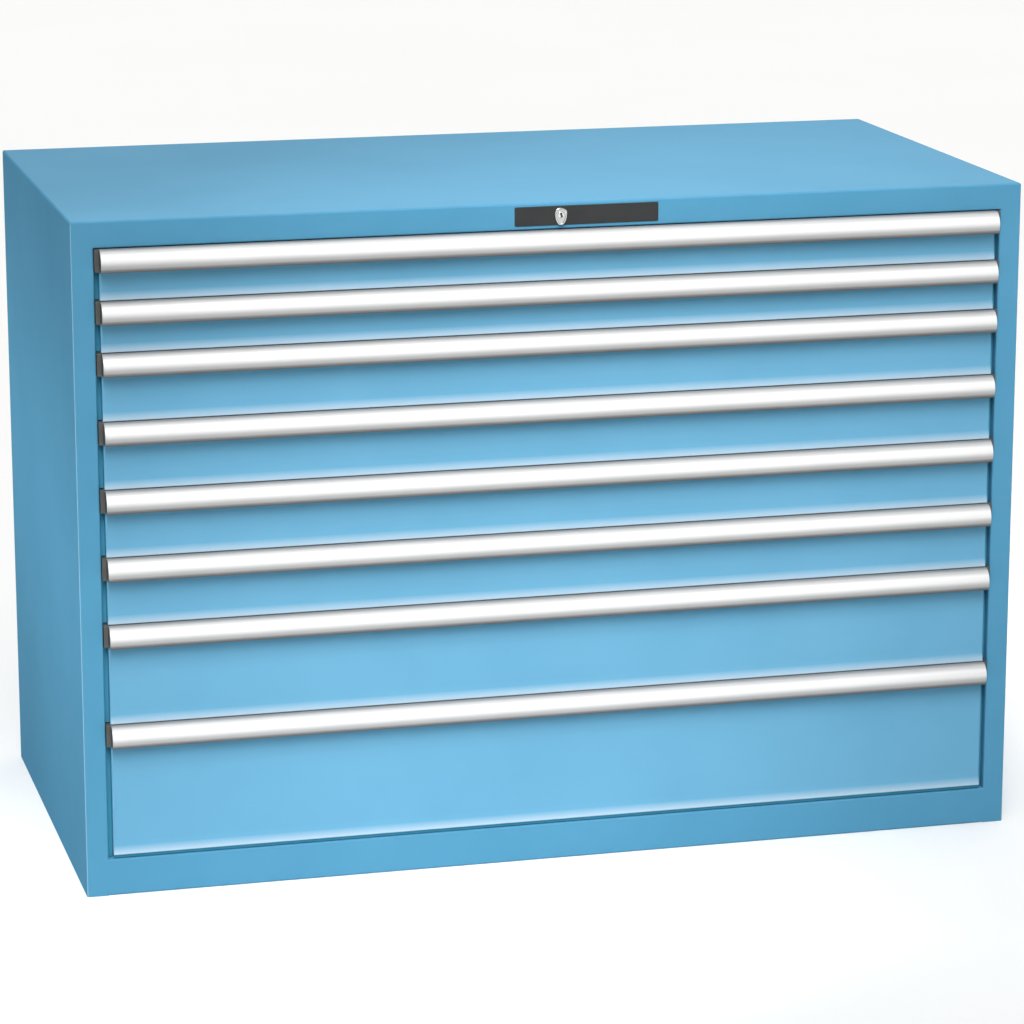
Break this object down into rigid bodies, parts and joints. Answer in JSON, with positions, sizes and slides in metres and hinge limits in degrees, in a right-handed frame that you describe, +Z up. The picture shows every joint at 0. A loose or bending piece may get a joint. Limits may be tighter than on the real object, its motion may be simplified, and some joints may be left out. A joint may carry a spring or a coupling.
{
  "type": "drawer cabinet",
  "caption": "Floor-standing steel cabinet with stacked full-width drawers on telescopic slides, half-round pull strips along the fronts and a central lock on the top rail.",
  "frame": {"origin": "middle of the bounding box at floor level", "axes": "+X across the front to the right seen from the front, +Y from the front to the back, +Z up"},
  "size_m": [1.431, 0.745, 1],
  "materials": {
    "blue_paint": "satin powder coat",
    "tray_paint": "light grey powder coat",
    "handle_aluminium": "bright anodised",
    "cap_plastic": "dark grey, fine grain",
    "slide_steel": "zinc plated",
    "lock_plate_plastic": "dark grey",
    "lock_chrome": "polished"
  },
  "bodies": {
    "housing": {"left_side_panel": "blue_paint", "right_side_panel": "blue_paint", "top_panel": "blue_paint", "base_panel": "blue_paint", "back_panel": "blue_paint", "left_guide_frame": "slide_steel", "right_guide_frame": "slide_steel", "lock_plate": "lock_plate_plastic", "lock_rosette": "lock_chrome"},
    "drawer_1": {"drawer_1_tray": "tray_paint", "drawer_1_front": "blue_paint", "drawer_1_handle": "handle_aluminium", "drawer_1_end_caps": "cap_plastic", "drawer_1_rails": "slide_steel"},
    "middle_1": {"drawer_1_middle_rails": "slide_steel"},
    "drawer_2": {"drawer_2_tray": "tray_paint", "drawer_2_front": "blue_paint", "drawer_2_handle": "handle_aluminium", "drawer_2_end_caps": "cap_plastic", "drawer_2_rails": "slide_steel"},
    "middle_2": {"drawer_2_middle_rails": "slide_steel"},
    "drawer_3": {"drawer_3_tray": "tray_paint", "drawer_3_front": "blue_paint", "drawer_3_handle": "handle_aluminium", "drawer_3_end_caps": "cap_plastic", "drawer_3_rails": "slide_steel"},
    "middle_3": {"drawer_3_middle_rails": "slide_steel"},
    "drawer_4": {"drawer_4_tray": "tray_paint", "drawer_4_front": "blue_paint", "drawer_4_handle": "handle_aluminium", "drawer_4_end_caps": "cap_plastic", "drawer_4_rails": "slide_steel"},
    "middle_4": {"drawer_4_middle_rails": "slide_steel"},
    "drawer_5": {"drawer_5_tray": "tray_paint", "drawer_5_front": "blue_paint", "drawer_5_handle": "handle_aluminium", "drawer_5_end_caps": "cap_plastic", "drawer_5_rails": "slide_steel"},
    "middle_5": {"drawer_5_middle_rails": "slide_steel"},
    "drawer_6": {"drawer_6_tray": "tray_paint", "drawer_6_front": "blue_paint", "drawer_6_handle": "handle_aluminium", "drawer_6_end_caps": "cap_plastic", "drawer_6_rails": "slide_steel"},
    "middle_6": {"drawer_6_middle_rails": "slide_steel"},
    "drawer_7": {"drawer_7_tray": "tray_paint", "drawer_7_front": "blue_paint", "drawer_7_handle": "handle_aluminium", "drawer_7_end_caps": "cap_plastic", "drawer_7_rails": "slide_steel"},
    "middle_7": {"drawer_7_middle_rails": "slide_steel"},
    "drawer_8": {"drawer_8_tray": "tray_paint", "drawer_8_front": "blue_paint", "drawer_8_handle": "handle_aluminium", "drawer_8_end_caps": "cap_plastic", "drawer_8_rails": "slide_steel"},
    "middle_8": {"drawer_8_middle_rails": "slide_steel"},
    "lock_core": {"lock_plug": "lock_chrome", "lock_shaft": "slide_steel"},
    "lock_bar": {"lock_bar": "slide_steel"}
  },
  "joints": [
    {"name": "drawer_1_slide", "type": "slide", "parent": "housing", "child": "drawer_1", "axis": [0, -1, 0], "range_m": [0, 0.612]},
    {"name": "middle_1_slide", "type": "slide", "parent": "housing", "child": "middle_1", "axis": [0, -1, 0], "range_m": [0, 0.306]},
    {"name": "drawer_2_slide", "type": "slide", "parent": "housing", "child": "drawer_2", "axis": [0, -1, 0], "range_m": [0, 0.612]},
    {"name": "middle_2_slide", "type": "slide", "parent": "housing", "child": "middle_2", "axis": [0, -1, 0], "range_m": [0, 0.306]},
    {"name": "drawer_3_slide", "type": "slide", "parent": "housing", "child": "drawer_3", "axis": [0, -1, 0], "range_m": [0, 0.612]},
    {"name": "middle_3_slide", "type": "slide", "parent": "housing", "child": "middle_3", "axis": [0, -1, 0], "range_m": [0, 0.306]},
    {"name": "drawer_4_slide", "type": "slide", "parent": "housing", "child": "drawer_4", "axis": [0, -1, 0], "range_m": [0, 0.612]},
    {"name": "middle_4_slide", "type": "slide", "parent": "housing", "child": "middle_4", "axis": [0, -1, 0], "range_m": [0, 0.306]},
    {"name": "drawer_5_slide", "type": "slide", "parent": "housing", "child": "drawer_5", "axis": [0, -1, 0], "range_m": [0, 0.612]},
    {"name": "middle_5_slide", "type": "slide", "parent": "housing", "child": "middle_5", "axis": [0, -1, 0], "range_m": [0, 0.306]},
    {"name": "drawer_6_slide", "type": "slide", "parent": "housing", "child": "drawer_6", "axis": [0, -1, 0], "range_m": [0, 0.612]},
    {"name": "middle_6_slide", "type": "slide", "parent": "housing", "child": "middle_6", "axis": [0, -1, 0], "range_m": [0, 0.306]},
    {"name": "drawer_7_slide", "type": "slide", "parent": "housing", "child": "drawer_7", "axis": [0, -1, 0], "range_m": [0, 0.612]},
    {"name": "middle_7_slide", "type": "slide", "parent": "housing", "child": "middle_7", "axis": [0, -1, 0], "range_m": [0, 0.306]},
    {"name": "drawer_8_slide", "type": "slide", "parent": "housing", "child": "drawer_8", "axis": [0, -1, 0], "range_m": [0, 0.612]},
    {"name": "middle_8_slide", "type": "slide", "parent": "housing", "child": "middle_8", "axis": [0, -1, 0], "range_m": [0, 0.306]},
    {"name": "lock_turn", "type": "hinge", "parent": "housing", "child": "lock_core", "pos_m": [0, -0.3584, 0.982], "axis": [0, 1, 0], "range_deg": [0, 90]},
    {"name": "lock_bar_lift", "type": "slide", "parent": "housing", "child": "lock_bar", "axis": [0, 0, 1], "range_m": [0, 0.00942]}
  ],
  "couplings": [
    {"joint": "middle_1_slide", "follows": "drawer_1_slide", "ratio": 0.5},
    {"joint": "middle_2_slide", "follows": "drawer_2_slide", "ratio": 0.5},
    {"joint": "middle_3_slide", "follows": "drawer_3_slide", "ratio": 0.5},
    {"joint": "middle_4_slide", "follows": "drawer_4_slide", "ratio": 0.5},
    {"joint": "middle_5_slide", "follows": "drawer_5_slide", "ratio": 0.5},
    {"joint": "middle_6_slide", "follows": "drawer_6_slide", "ratio": 0.5},
    {"joint": "middle_7_slide", "follows": "drawer_7_slide", "ratio": 0.5},
    {"joint": "middle_8_slide", "follows": "drawer_8_slide", "ratio": 0.5},
    {"joint": "lock_turn", "follows": "lock_bar_lift", "rad_per_m": 166.67}
  ]
}
